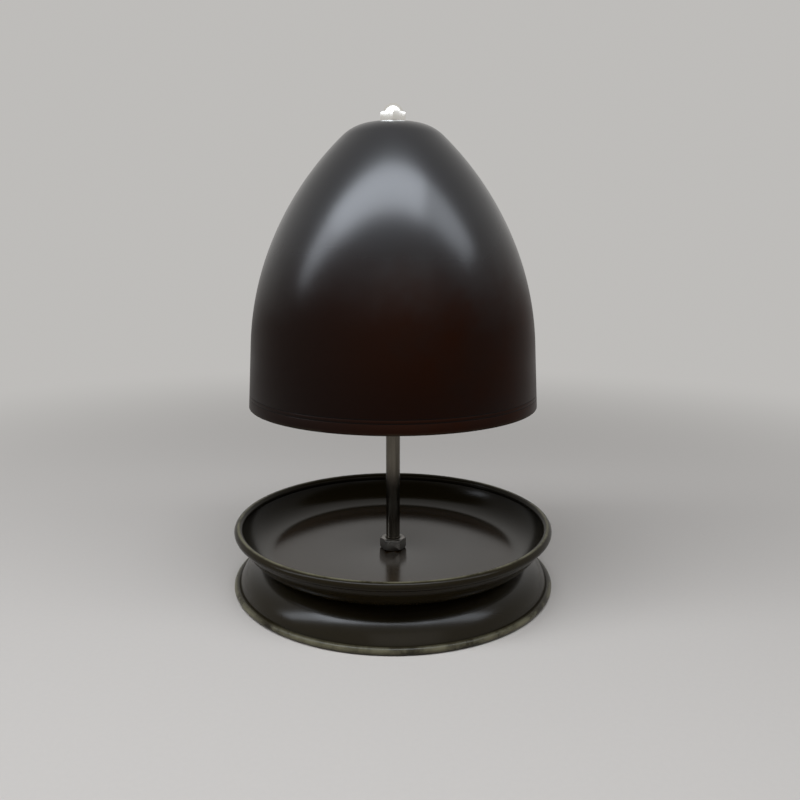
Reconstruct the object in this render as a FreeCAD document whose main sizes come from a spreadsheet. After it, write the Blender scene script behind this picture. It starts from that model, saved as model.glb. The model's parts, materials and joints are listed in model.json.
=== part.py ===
import FreeCAD, Part

import math
import os

import Sketcher

# A spun metal bell on a rod, over a dished tray and an inverted foot dish.
# Millimetres, +Z up, origin on the table under the middle of the foot.

SIZES = (
    ("rod_diameter", 8.0, "plain shank and thread of the centre rod"),
    ("rod_tail", 3.0, "rod below the nut under the foot"),
    ("rod_end_chamfer", 1.0, "chamfer on both ends of the rod"),
    ("rod_head_gap", 0.6, "rod end to the end of the cap nut's thread"),
    ("thread_clearance", 0.05, "radial, nuts round the rod"),
    ("sheet_clearance", 0.5, "radial, holes in spun sheet round the rod"),
    ("nut_wall", 2.5, "rod to the flats of a nut"),
    ("nut_height", 6.5, "plain nuts"),
    ("nut_face_share", 0.95, "round face of a nut over its width across flats"),
    ("nut_corner_angle", 30.0, "degrees, corner chamfer of nuts"),
    ("nut_lead_in", 0.5, "chamfer at the mouth of a nut's thread"),
    ("washer_band", 3.8, "washers, hole to outside"),
    ("washer_thickness", 1.6, "washers"),
    ("washer_clearance", 0.2, "radial, washers round the rod"),
    ("washer_edge", 0.3, "chamfer on the washers"),
    ("cap_height", 10.0, "whole cap nut"),
    ("cap_hex_height", 5.6, "hexagon of the cap nut"),
    ("cap_dome_wall", 1.4, "rod to the outside of the dome where it leaves the hexagon"),
    ("cap_crown_wall", 1.2, "metal left above the blind hole"),
    ("cap_drill_angle", 31.0, "degrees, cone at the end of the blind hole"),
    ("dish_wall", 1.0, "sheet of the foot and the tray"),
    ("foot_height", 17.0, "table to the top of the foot's plate"),
    ("foot_rim_radius", 91.0, "outside of the foot's rolled rim"),
    ("foot_bead_radius", 2.0, "section of the foot's rolled rim"),
    ("foot_bead_worn", 0.2, "flat worn under the foot's rolled rim"),
    ("foot_shoulder_radius", 8.0, "bend from the foot's plate to its wall"),
    ("foot_shoulder_slope", 11.0, "degrees, top of the foot's wall"),
    ("foot_rim_slope", 50.0, "degrees, foot's wall where it meets the rim"),
    ("foot_wall_tuck", 1.1, "foot's wall ends this far inside the bead's middle"),
    ("tray_depth", 19.3, "tray's underside to the crest of its rim"),
    ("tray_rim_radius", 90.0, "outside of the tray's rolled rim"),
    ("tray_bead_radius", 2.4, "section of the tray's rolled rim"),
    ("tray_crease_radius", 8.0, "bend from the tray's floor to its wall"),
    ("tray_crease_slope", 11.0, "degrees, foot of the tray's wall"),
    ("tray_rim_slope", 50.0, "degrees, tray's wall where it meets the rim"),
    ("tray_wall_tuck", 1.4, "tray's wall ends this far inside the bead's middle"),
    ("bell_shoulder_slope", 43.5, "degrees, end of a bell's shoulder arc"),
    ("bell_flank_slope", 66.8, "degrees, end of a bell's flank arc"),
    ("bell_skirt_slope", 86.6, "degrees, straight skirt above a bell's mouth"),
    ("outer_bell_top", 252.8, "table to the crown of the outer bell"),
    ("outer_bell_height", 148.4, "crown to mouth"),
    ("outer_bell_mouth_radius", 79.3, "outside at the mouth"),
    ("outer_bell_wall", 1.2, "spun sheet"),
    ("outer_bell_crown_radius", 10.0, "flat seat for the cap nut"),
    ("outer_bell_shoulder_radius", 24.4, "arc from the crown to the flank"),
    ("outer_bell_waist_radius", 157.0, "arc from the flank to the skirt"),
    ("inner_bell_drop", 44.8, "outer crown down to inner crown"),
    ("inner_bell_height", 98.0, "crown to mouth"),
    ("inner_bell_mouth_radius", 56.8, "outside at the mouth"),
    ("inner_bell_wall", 1.0, "spun sheet"),
    ("inner_bell_crown_radius", 9.0, "flat seat for the clamping nuts"),
    ("inner_bell_shoulder_radius", 17.0, "arc from the crown to the flank"),
    ("inner_bell_waist_radius", 108.0, "arc from the flank to the skirt"),
    ("mouth_line_rise", 5.4, "mouth to the lower turned line"),
    ("mouth_line_step", 1.9, "lower turned line to the upper one"),
    ("mouth_line_width", 0.8, "turned lines"),
    ("mouth_line_depth", 0.25, "turned lines"),
)

doc = FreeCAD.newDocument("bell_on_rod")
sheet = doc.addObject("Spreadsheet::Sheet", "Sizes")
for row, (alias, number, note) in enumerate(SIZES, start=1):
    sheet.set(f"A{row}", note)
    sheet.set(f"B{row}", str(number))
    sheet.setAlias(f"B{row}", alias)
doc.recompute()


def size(alias):
    """Expression that reads one driving size."""
    return f"Sizes.{alias}"


# Heights and radii that several pieces share, as expressions on the sheet.
ROD_RADIUS = f"({size('rod_diameter')} / 2)"
THREAD_RADIUS = f"({ROD_RADIUS} + {size('thread_clearance')})"
SHEET_HOLE = f"({ROD_RADIUS} + {size('sheet_clearance')})"
NUT_INNER = f"({ROD_RADIUS} + {size('nut_wall')})"
NUT_CORNER = f"(2 * {NUT_INNER} / sqrt(3))"
CAP_THREAD_DEPTH = (f"({size('cap_height')} - {size('cap_crown_wall')}"
                    f" - {THREAD_RADIUS} * tan({size('cap_drill_angle')}))")
FOOT_TOP = size("foot_height")
TRAY_FLOOR = f"({FOOT_TOP} + {size('dish_wall')})"
FOOT_UNDERSIDE = f"({FOOT_TOP} - {size('dish_wall')})"
BASE_WASHER_Z = f"({FOOT_UNDERSIDE} - {size('washer_thickness')})"
BASE_NUT_Z = f"({BASE_WASHER_Z} - {size('nut_height')})"
ROD_BOTTOM = f"({BASE_NUT_Z} - {size('rod_tail')})"
OUTER_TOP = size("outer_bell_top")
ROD_TOP = f"({OUTER_TOP} + {CAP_THREAD_DEPTH} - {size('rod_head_gap')})"
SEAT_WASHER_Z = f"({OUTER_TOP} - {size('outer_bell_wall')} - {size('washer_thickness')})"
SEAT_NUT_Z = f"({SEAT_WASHER_Z} - {size('nut_height')})"
INNER_TOP = f"({OUTER_TOP} - {size('inner_bell_drop')})"
UPPER_NUT_Z = f"({INNER_TOP} + {size('washer_thickness')})"
LOWER_WASHER_Z = f"({INNER_TOP} - {size('inner_bell_wall')} - {size('washer_thickness')})"
LOWER_NUT_Z = f"({LOWER_WASHER_Z} - {size('nut_height')})"


def new_body(name, height="0", turn=0.0):
    """Body for one piece, stood at a height and turned about the rod."""
    body = doc.addObject("PartDesign::Body", name)
    body.Label = name
    body.Placement = FreeCAD.Placement(FreeCAD.Vector(), FreeCAD.Rotation(FreeCAD.Vector(0, 0, 1), turn))
    body.setExpression("Placement.Base.z", height)
    return body


def new_sketch(body, name, role):
    """Empty sketch on one of the body's own origin planes."""
    sketch = body.newObject("Sketcher::SketchObject", name)
    plane = next(item for item in body.Origin.OriginFeatures if item.Role == role)
    sketch.AttachmentSupport = (plane, [""])
    sketch.MapMode = "FlatFace"
    return sketch


def value(expression):
    """Number that an expression on the sheet gives now."""
    answer = sheet.evalExpression(expression)
    return float(getattr(answer, "Value", answer))


def bind(sketch, constraint, expression):
    """Add one size to a sketch and tie it to the sheet."""
    index = sketch.addConstraint(constraint)
    sketch.setExpression(f"Constraints[{index}]", expression)


def add_arc(sketch, start, end, radius, turn):
    """Arc of under a half circle between two points; turn is 1 to the left, -1 to the right."""
    chord = end - start
    rise = math.sqrt(radius ** 2 - (chord.Length / 2) ** 2)
    left = FreeCAD.Vector(-chord.y, chord.x, 0).normalize()
    centre = (start + end) / 2 + left * rise * turn
    angles = [math.atan2(point.y - centre.y, point.x - centre.x) for point in (start, end)]
    if turn < 0:
        angles.reverse()
    if angles[1] < angles[0]:
        angles[1] += 2 * math.pi
    circle = Part.Circle(centre, FreeCAD.Vector(0, 0, 1), radius)
    return sketch.addGeometry(Part.ArcOfCircle(circle, *angles), False)


def draw_outline(sketch, corners):
    """Closed outline through corners (x, y) or (x, y, radius, turn).

    A corner with a radius is reached by an arc, any other by a straight line.
    """
    points = [FreeCAD.Vector(value(corner[0]), value(corner[1]), 0) for corner in corners]
    pieces = []
    for index, corner in enumerate(corners):
        start, end = points[index - 1], points[index]
        if len(corner) == 2:
            pieces.append((sketch.addGeometry(Part.LineSegment(start, end), False), 1, 2))
        else:
            turn = corner[3]
            arc = add_arc(sketch, start, end, value(corner[2]), turn)
            pieces.append((arc, 1, 2) if turn > 0 else (arc, 2, 1))
            bind(sketch, Sketcher.Constraint("Radius", arc, value(corner[2])), corner[2])
    for index, (piece, start_end, last_end) in enumerate(pieces):
        before, _, before_end = pieces[index - 1]
        sketch.addConstraint(Sketcher.Constraint("Coincident", before, before_end, piece, start_end))
        across = Sketcher.Constraint("DistanceX", -1, 1, piece, last_end, points[index].x)
        bind(sketch, across, corners[index][0])
        upward = Sketcher.Constraint("DistanceY", -1, 1, piece, last_end, points[index].y)
        bind(sketch, upward, corners[index][1])


def draw_ring_section(sketch, across, upward, radius):
    """Full circle, the section of a rolled rim."""
    centre = FreeCAD.Vector(value(across), value(upward), 0)
    circle = sketch.addGeometry(Part.Circle(centre, FreeCAD.Vector(0, 0, 1), value(radius)), False)
    bind(sketch, Sketcher.Constraint("Radius", circle, value(radius)), radius)
    bind(sketch, Sketcher.Constraint("DistanceX", -1, 1, circle, 3, centre.x), across)
    bind(sketch, Sketcher.Constraint("DistanceY", -1, 1, circle, 3, centre.y), upward)


def turned(body, name, outlines, cut=False):
    """Revolve closed outlines about the body's axis, as metal added or cut away.

    An outline is a list of corners, or a tuple with the middle and radius of a circle.
    """
    sketch = new_sketch(body, name + "_outline", "XZ_Plane")
    for corners in outlines:
        if isinstance(corners, tuple):
            draw_ring_section(sketch, *corners)
        else:
            draw_outline(sketch, corners)
    before = body.Shape.Volume if cut else 0.0
    feature = body.newObject("PartDesign::Groove" if cut else "PartDesign::Revolution", name)
    feature.Profile = sketch
    feature.ReferenceAxis = (sketch, ["V_Axis"])
    feature.Angle = 360.0
    doc.recompute()
    if cut and not body.Shape.Volume < before:
        raise RuntimeError(f"{name} cuts nothing")
    return feature


def hexagon(body, name, height):
    """Hexagonal prism with two corners along the body's X axis."""
    sketch = new_sketch(body, name + "_flats", "XY_Plane")
    corners = [(f"{NUT_CORNER} * cos({60 * k})", f"{NUT_CORNER} * sin({60 * k})") for k in range(6)]
    draw_outline(sketch, corners)
    pad = body.newObject("PartDesign::Pad", name)
    pad.Profile = sketch
    pad.setExpression("Length", height)
    doc.recompute()


def corner_chamfer(face, into):
    """Triangle that turns the corners of a hexagon round at one end face."""
    start = f"({NUT_INNER} * {size('nut_face_share')})"
    reach = f"({NUT_CORNER} + {size('nut_lead_in')})"
    fall = f"(({reach} - {start}) * tan({size('nut_corner_angle')}))"
    return [(start, face), (reach, face), (reach, f"({face} {into} {fall})")]


def make_rod():
    body = new_body("center_rod", ROD_BOTTOM)
    chamfer = size("rod_end_chamfer")
    length = f"({ROD_TOP} - {ROD_BOTTOM})"
    turned(body, "shank", [[
        ("0", "0"),
        (f"{ROD_RADIUS} - {chamfer}", "0"),
        (ROD_RADIUS, chamfer),
        (ROD_RADIUS, f"{length} - {chamfer}"),
        (f"{ROD_RADIUS} - {chamfer}", length),
        ("0", length),
    ]])


def make_nut(name, height, turn):
    body = new_body(name, height, turn)
    top = size("nut_height")
    lead = size("nut_lead_in")
    hexagon(body, "hexagon", top)
    bore = [
        ("0", "0"),
        (f"{THREAD_RADIUS} + {lead}", "0"),
        (THREAD_RADIUS, lead),
        (THREAD_RADIUS, f"{top} - {lead}"),
        (f"{THREAD_RADIUS} + {lead}", top),
        ("0", top),
    ]
    turned(body, "turned_faces", [corner_chamfer(top, "-"), corner_chamfer("0", "+"), bore], cut=True)


def make_cap_nut(name, height, turn):
    body = new_body(name, height, turn)
    top = size("cap_hex_height")
    lead = size("nut_lead_in")
    dome = f"({ROD_RADIUS} + {size('cap_dome_wall')})"
    rise = f"({size('cap_height')} - {top})"
    ball = f"(({dome} * {dome} + {rise} * {rise}) / (2 * {rise}))"
    hexagon(body, "hexagon", top)
    turned(body, "rounded_corners", [corner_chamfer(top, "-")], cut=True)
    turned(body, "dome", [[
        ("0", f"{top} / 2"),
        (dome, f"{top} / 2"),
        (dome, top),
        ("0", size("cap_height"), ball, 1),
    ]])
    turned(body, "blind_thread", [[
        ("0", "0"),
        (f"{THREAD_RADIUS} + {lead}", "0"),
        (THREAD_RADIUS, lead),
        (THREAD_RADIUS, CAP_THREAD_DEPTH),
        ("0", f"{size('cap_height')} - {size('cap_crown_wall')}"),
    ]], cut=True)


def make_washer(name, height):
    body = new_body(name, height)
    inner = f"({ROD_RADIUS} + {size('washer_clearance')})"
    outer = f"({inner} + {size('washer_band')})"
    thick = size("washer_thickness")
    edge = size("washer_edge")
    turned(body, "ring", [[
        (inner, "0"),
        (f"{outer} - {edge}", "0"),
        (outer, edge),
        (outer, f"{thick} - {edge}"),
        (f"{outer} - {edge}", thick),
        (inner, thick),
    ]])


def bell_side(bell, inset):
    """Corners of one side of a bell's wall from crown to mouth, inset by part of the wall."""
    shoulder_slope, flank_slope, skirt_slope = (
        size(f"bell_{part}_slope") for part in ("shoulder", "flank", "skirt"))
    crown_radius = size(f"{bell}_crown_radius")
    shoulder = size(f"{bell}_shoulder_radius")
    waist = size(f"{bell}_waist_radius")
    height = size(f"{bell}_height")
    # The flank's arc is what brings the outside to the mouth radius at the bell's height.
    slack = (f"({size(bell + '_mouth_radius')} - {crown_radius} - {shoulder} * sin({shoulder_slope})"
             f" - {waist} * (sin({skirt_slope}) - sin({flank_slope}))"
             f" - ({height} - {shoulder} * (1 - cos({shoulder_slope}))"
             f" - {waist} * (cos({flank_slope}) - cos({skirt_slope}))) / tan({skirt_slope}))")
    share = (f"(sin({flank_slope}) - sin({shoulder_slope})"
             f" - (cos({shoulder_slope}) - cos({flank_slope})) / tan({skirt_slope}))")
    radii = [f"({radius} - {inset})" for radius in (shoulder, f"{slack} / {share}", waist)]
    slopes = ["0", shoulder_slope, flank_slope, skirt_slope]
    x, y = crown_radius, f"({height} - {inset})"
    corners = [(x, y)]
    for radius, slope_in, slope_out in zip(radii, slopes, slopes[1:]):
        x = f"({x} + {radius} * (sin({slope_out}) - sin({slope_in})))"
        y = f"({y} - {radius} * (cos({slope_in}) - cos({slope_out})))"
        corners.append((x, y, radius, -1))
    corners.append((f"({x} + {y} / tan({skirt_slope}))", "0"))
    return corners


def reversed_side(corners):
    """The same side drawn back from its last corner to its first."""
    back = []
    for index in range(len(corners) - 1, -1, -1):
        arc = corners[index + 1][2:] if index + 1 < len(corners) else ()
        if arc:
            arc = (arc[0], -arc[1])
        back.append(corners[index][:2] + arc)
    return back


def wall_outline(outside, inside, hole):
    """Outline of a sheet wall between its two sides, open at a hole round the rod."""
    return [(hole, outside[0][1])] + outside + reversed_side(inside) + [(hole, inside[0][1])]


def make_bell(bell, mouth_height):
    body = new_body(bell, mouth_height)
    outside = bell_side(bell, "0")
    inside = bell_side(bell, size(f"{bell}_wall"))
    turned(body, "spun_wall", [wall_outline(outside, inside, SHEET_HOLE)])
    return body


def cut_mouth_lines(body):
    """Two fine lines turned into the skirt above the outer bell's mouth."""
    half = f"({size('mouth_line_width')} / 2)"
    notches = []
    for count in range(2):
        level = f"({size('mouth_line_rise')} + {count} * {size('mouth_line_step')})"
        skin = f"({size('outer_bell_mouth_radius')} - {level} / tan({size('bell_skirt_slope')}))"
        proud = f"({skin} + {size('mouth_line_depth')})"
        notches.append([
            (proud, f"{level} - {half}"),
            (proud, f"{level} + {half}"),
            (f"{skin} - {size('mouth_line_depth')}", level),
        ])
    turned(body, "mouth_lines", notches, cut=True)


def dish_side(start, inset, bends, turn):
    """Corners of one side of a dish's wall from its flat middle to its rim."""
    x, y = start
    y = f"({y} - {inset})"
    corners = [(x, y)]
    slope_in = "0"
    for radius, slope_out in bends:
        bent = f"({radius} - {inset})" if turn < 0 else f"({radius} + {inset})"
        x = f"({x} + {bent} * (sin({slope_out}) - sin({slope_in})))"
        run = f"{bent} * (cos({slope_in}) - cos({slope_out}))"
        y = f"({y} - {run})" if turn < 0 else f"({y} + {run})"
        corners.append((x, y, bent, turn))
        slope_in = slope_out
    return corners


def dish_wall(body, middle_height, rim, bend, turn):
    """Both sides of a dish whose wall runs from its middle to a point inside its rolled rim."""
    rim_x, rim_y = rim
    bend_radius, bend_slope, rim_slope = bend
    sign = "-" if turn < 0 else ""
    climb = f"({sign}({rim_y} - {middle_height}) - {bend_radius} * (1 - cos({bend_slope})))"
    wall_radius = f"({climb} / (cos({bend_slope}) - cos({rim_slope})))"
    reach = f"({wall_radius} * (sin({rim_slope}) - sin({bend_slope})) + {bend_radius} * sin({bend_slope}))"
    start = (f"({rim_x} - {reach})", middle_height)
    bends = [(bend_radius, bend_slope), (wall_radius, rim_slope)]
    upper = dish_side(start, "0", bends, turn)
    lower = dish_side(start, size("dish_wall"), bends, turn)
    turned(body, "spun_wall", [wall_outline(upper, lower, SHEET_HOLE)])


def make_foot():
    body = new_body("foot_dish")
    bead = size("foot_bead_radius")
    worn = size("foot_bead_worn")
    centre_x = f"({size('foot_rim_radius')} - {bead})"
    centre_y = f"({bead} - {worn})"
    bend = (size("foot_shoulder_radius"), size("foot_shoulder_slope"), size("foot_rim_slope"))
    tuck = f"({centre_x} - {size('foot_wall_tuck')})"
    dish_wall(body, FOOT_TOP, (tuck, centre_y), bend, -1)
    turned(body, "rolled_rim", [(centre_x, centre_y, bead)])
    low = f"(0 - {bead})"
    turned(body, "worn_ring", [[
        (f"{centre_x} - {bead}", low),
        (f"{centre_x} + {bead}", low),
        (f"{centre_x} + {bead}", "0"),
        (f"{centre_x} - {bead}", "0"),
    ]], cut=True)


def make_tray():
    body = new_body("tray_dish", FOOT_TOP)
    bead = size("tray_bead_radius")
    centre_x = f"({size('tray_rim_radius')} - {bead})"
    centre_y = f"({size('tray_depth')} - {bead})"
    bend = (size("tray_crease_radius"), size("tray_crease_slope"), size("tray_rim_slope"))
    tuck = f"({centre_x} - {size('tray_wall_tuck')})"
    dish_wall(body, size("dish_wall"), (tuck, centre_y), bend, 1)
    turned(body, "rolled_rim", [(centre_x, centre_y, bead)])


make_foot()
make_tray()
make_rod()
make_washer("base_washer", BASE_WASHER_Z)
make_nut("base_nut", BASE_NUT_Z, 12.0)
make_nut("tray_nut", TRAY_FLOOR, 0.0)
make_bell("inner_bell", f"{INNER_TOP} - {size('inner_bell_height')}")
make_washer("inner_bell_lower_washer", LOWER_WASHER_Z)
make_nut("inner_bell_lower_nut", LOWER_NUT_Z, 22.0)
make_washer("inner_bell_upper_washer", INNER_TOP)
make_nut("inner_bell_upper_nut", UPPER_NUT_Z, 41.0)
cut_mouth_lines(make_bell("outer_bell", f"{OUTER_TOP} - {size('outer_bell_height')}"))
make_washer("outer_bell_seat_washer", SEAT_WASHER_Z)
make_nut("outer_bell_seat_nut", SEAT_NUT_Z, 8.0)
make_cap_nut("cap_nut", OUTER_TOP, 30.0)
doc.recompute()

bodies = [item for item in doc.Objects if item.TypeId == "PartDesign::Body"]
for item in doc.Objects:
    if "Invalid" in item.State or "Error" in item.State:
        raise RuntimeError(f"{item.Label} is not built: {item.State}")
for body in bodies:
    if body.Shape.isNull() or not body.Shape.isValid() or len(body.Shape.Solids) != 1:
        raise RuntimeError(f"{body.Label} has no sound solid")

os.makedirs("parts", exist_ok=True)
for body in bodies:
    body.Shape.exportStep(f"parts/{body.Label}.step")
    box = body.Shape.BoundBox
    heights = f"z {box.ZMin:.2f} to {box.ZMax:.2f}"
    print(f"{body.Label}: {heights}, radius {box.XMax:.2f}, {body.Shape.Volume:.0f} mm3")
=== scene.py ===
import json
import math

import bmesh
import bpy
from bpy.props import FloatProperty, FloatVectorProperty, IntProperty, PointerProperty
from bpy.types import Operator, Panel, PropertyGroup
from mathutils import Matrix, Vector


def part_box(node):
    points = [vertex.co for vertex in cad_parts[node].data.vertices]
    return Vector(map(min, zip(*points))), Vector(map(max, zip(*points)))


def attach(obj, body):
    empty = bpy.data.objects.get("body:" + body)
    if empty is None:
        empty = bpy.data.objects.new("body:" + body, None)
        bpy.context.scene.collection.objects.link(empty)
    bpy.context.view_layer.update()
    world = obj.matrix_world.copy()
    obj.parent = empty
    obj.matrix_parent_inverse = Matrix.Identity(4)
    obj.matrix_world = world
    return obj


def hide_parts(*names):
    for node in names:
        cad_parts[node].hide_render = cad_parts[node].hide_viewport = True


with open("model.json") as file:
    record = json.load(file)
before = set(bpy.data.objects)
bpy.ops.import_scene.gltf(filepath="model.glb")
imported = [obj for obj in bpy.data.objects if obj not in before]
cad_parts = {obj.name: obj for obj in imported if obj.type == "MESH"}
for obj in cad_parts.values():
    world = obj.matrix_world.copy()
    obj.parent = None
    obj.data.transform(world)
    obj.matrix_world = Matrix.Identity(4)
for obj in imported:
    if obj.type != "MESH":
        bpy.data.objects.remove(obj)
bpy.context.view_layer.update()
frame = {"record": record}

bl_info = {
    "name": "Spun Bell on a Rod",
    "version": (1, 0, 0),
    "blender": (4, 5, 0),
    "location": "View3D > Sidebar > Spun Bell",
    "description": "Builds a spun bell on a steel rod over a dished tray, with its finishes and studio",
    "category": "Add Mesh",
}

# Metres and radians, +Z up, origin on the table under the rod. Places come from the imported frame.
# NUT_TURNS and CAP_TURN are degrees about the rod. DISHES gives node, sizes, way the wall turns and finish.

MM = 0.001
BODY_OF = {
    node: body
    for body, nodes in frame["record"]["behaviour"]["bodies"].items()
    for node in nodes
}
NUT_TURNS = {
    "base_nut": 12.0,
    "tray_nut": 0.0,
    "inner_bell_lower_nut": 22.0,
    "inner_bell_upper_nut": 41.0,
    "outer_bell_seat_nut": 8.0,
}
CAP_TURN = 30.0
INNER_SIDE = "inner_side"
DISHES = (
    ("foot_dish", "foot_sizes", -1, "Foot bronze"),
    ("tray_dish", "tray_sizes", 1, "Tray bronze"),
)
WASHERS = (
    "base_washer",
    "inner_bell_lower_washer",
    "inner_bell_upper_washer",
    "outer_bell_seat_washer",
)

# Points along the arcs of the outlines, facets of turned hardware, and the section of the thread's cutter

SHOULDER_STEPS = 14
FLANK_STEPS = 28
BEND_STEPS = 10
WALL_STEPS = 36
BEAD_STEPS = 48
DOME_STEPS = 32
ROD_FACETS = 64
TURNED_FACETS = 96
THREAD_FACETS = 32
THREAD_HALF_WIDTH = 0.44
THREAD_HALF_ANGLE = math.radians(30)
THREAD_PROUD = 0.06 * MM
WELD = 0.002 * MM


def length(name, note, default):
    return FloatProperty(name=name, description=note, default=default, min=0.0, precision=5, unit="LENGTH")


def angle(name, note, degrees):
    return FloatProperty(name=name, description=note, default=math.radians(degrees), subtype="ANGLE")


def share(name, note, default):
    return FloatProperty(name=name, description=note, default=default, min=0.0, max=1.0, subtype="FACTOR")


def colour(name, note, default):
    return FloatVectorProperty(
        name=name, description=note, default=default, size=3, min=0.0, max=1.0, subtype="COLOR")


class OuterBellSizes(PropertyGroup):
    wall: length("Wall", "Thickness of the spun sheet", 1.2 * MM)
    crown_radius: length("Crown radius", "Flat seat for the cap nut", 10 * MM)
    shoulder_radius: length("Shoulder radius", "Bend from the crown to the flank", 24.4 * MM)
    waist_radius: length("Waist radius", "Bend from the flank to the skirt", 157 * MM)
    shoulder_slope: angle("Shoulder slope", "Where the shoulder meets the flank", 43.5)
    flank_slope: angle("Flank slope", "Where the flank meets the waist", 66.8)
    skirt_slope: angle("Skirt slope", "Straight skirt above the mouth", 86.6)
    line_rise: length("Line rise", "Mouth to the lower turned line", 5.4 * MM)
    line_step: length("Line step", "Lower turned line to the upper one", 1.9 * MM)
    line_width: length("Line width", "Width of a turned line", 0.8 * MM)
    line_depth: length("Line depth", "Depth of a turned line", 0.25 * MM)


class InnerBellSizes(PropertyGroup):
    wall: length("Wall", "Thickness of the spun sheet", 1.0 * MM)
    crown_radius: length("Crown radius", "Flat seat for the nuts", 9 * MM)
    shoulder_radius: length("Shoulder radius", "Bend from the crown to the flank", 17 * MM)
    waist_radius: length("Waist radius", "Bend from the flank to the skirt", 108 * MM)
    shoulder_slope: angle("Shoulder slope", "Where the shoulder meets the flank", 43.5)
    flank_slope: angle("Flank slope", "Where the flank meets the waist", 66.8)
    skirt_slope: angle("Skirt slope", "Straight skirt above the mouth", 86.6)


class FootSizes(PropertyGroup):
    bead_radius: length("Bead radius", "Section of the rolled rim", 2.0 * MM)
    bead_worn: length("Worn flat", "How much is worn off under the rim", 0.2 * MM)
    bend_radius: length("Bend radius", "Bend from the plate to the wall", 18 * MM)
    bend_slope: angle("Bend slope", "Top of the wall", 40.0)
    rim_slope: angle("Rim slope", "Wall where it meets the rim", 76.0)
    tuck: length("Wall tuck", "The wall ends this far inside the bead's middle", 0.7 * MM)
    # Outside the flat radius the painted wall shade comes in and the gloss fades.
    flat_radius: length("Flat radius", "The finish changes outside it", 68 * MM)
    wear_inward: FloatProperty(name="Wear inward", description="Rim to the wear, in bead radii", default=0.1)
    wear_upward: FloatProperty(name="Wear upward", description="Bead to the wear, in bead radii", default=0.3)
    wear_reach: FloatProperty(name="Wear reach", description="Reach of the wear, in bead radii", default=1.6)
    sheen: FloatProperty(name="Sheen", description="Index of refraction of the lacquer", default=1.30)


class TraySizes(PropertyGroup):
    bead_radius: length("Bead radius", "Section of the rolled rim", 2.4 * MM)
    bead_worn: length("Worn flat", "The tray's rim has no flat", 0.0)
    bend_radius: length("Bend radius", "Bend from the floor to the wall", 18 * MM)
    bend_slope: angle("Bend slope", "Foot of the wall", 40.0)
    rim_slope: angle("Rim slope", "Wall where it meets the rim", 76.0)
    tuck: length("Wall tuck", "The wall ends this far inside the bead's middle", 0.9 * MM)
    # Outside the flat radius the painted wall shade comes in and the gloss fades.
    flat_radius: length("Flat radius", "The finish changes outside it", 67 * MM)
    wear_inward: FloatProperty(name="Wear inward", description="Rim to the wear, in bead radii", default=1.0)
    wear_upward: FloatProperty(name="Wear upward", description="Bead to the wear, in bead radii", default=1.0)
    wear_reach: FloatProperty(name="Wear reach", description="Reach of the wear, in bead radii", default=0.55)
    sheen: FloatProperty(name="Sheen", description="Index of refraction of the lacquer", default=1.22)


class SheetSizes(PropertyGroup):
    dish_wall: length("Dish wall", "Sheet of the foot and the tray", 1.0 * MM)
    hole_gap: length("Hole gap", "Radial gap between sheet and rod", 0.5 * MM)
    edge_round: length("Edge round", "Rounding of a cut sheet edge", 0.3 * MM)
    seam_width: length("Seam width", "Gap where the rolled sheet meets the wall again", 0.16 * MM)
    seam_depth: length("Seam depth", "How deep that gap goes", 0.45 * MM)
    spin_steps: IntProperty(
        name="Spin steps", description="Facets round a spun piece", default=192, min=24)


class HardwareSizes(PropertyGroup):
    rod_radius: length("Rod radius", "Shank and thread crests", 4 * MM)
    rod_chamfer: length("Rod chamfer", "Chamfer on both ends", 1 * MM)
    thread_pitch: length("Thread pitch", "Rise of one turn", 1.25 * MM)
    thread_depth: length("Thread depth", "Crest to root", 0.72 * MM)
    lower_thread_top: length("Lower thread", "Top of the thread under the tray nut", 23.7 * MM)
    upper_thread_foot: length("Upper thread", "Foot of the thread inside the bells", 192 * MM)
    bore_gap: length("Bore gap", "Radial gap between nut and rod", 0.05 * MM)
    lead_in: length("Lead-in", "Chamfer at the mouth of a thread", 0.5 * MM)
    nut_wall: length("Nut wall", "Rod to the flats of a nut", 2.5 * MM)
    face_share: share("Face share", "Round face of a nut over its width across flats", 0.95)
    corner_angle: angle("Corner angle", "Corner chamfer of nuts", 30.0)
    cap_hex_height: length("Cap hexagon", "Hexagon of the cap nut", 5.6 * MM)
    cap_dome_wall: length("Dome wall", "Rod to the outside of the dome", 1.4 * MM)
    cap_crown_wall: length("Crown wall", "Metal above the blind hole", 1.2 * MM)
    cap_drill_angle: angle("Drill angle", "Cone at the end of the blind hole", 31.0)
    cap_fillet: length("Cap fillet", "Round from the dome to the hexagon", 0.5 * MM)
    washer_gap: length("Washer gap", "Radial gap between washer and rod", 0.2 * MM)
    washer_edge: length("Washer edge", "Chamfer on the washers", 0.3 * MM)
    soft_edge: length("Soft edge", "Rounding left by tumbling", 0.12 * MM)


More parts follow.
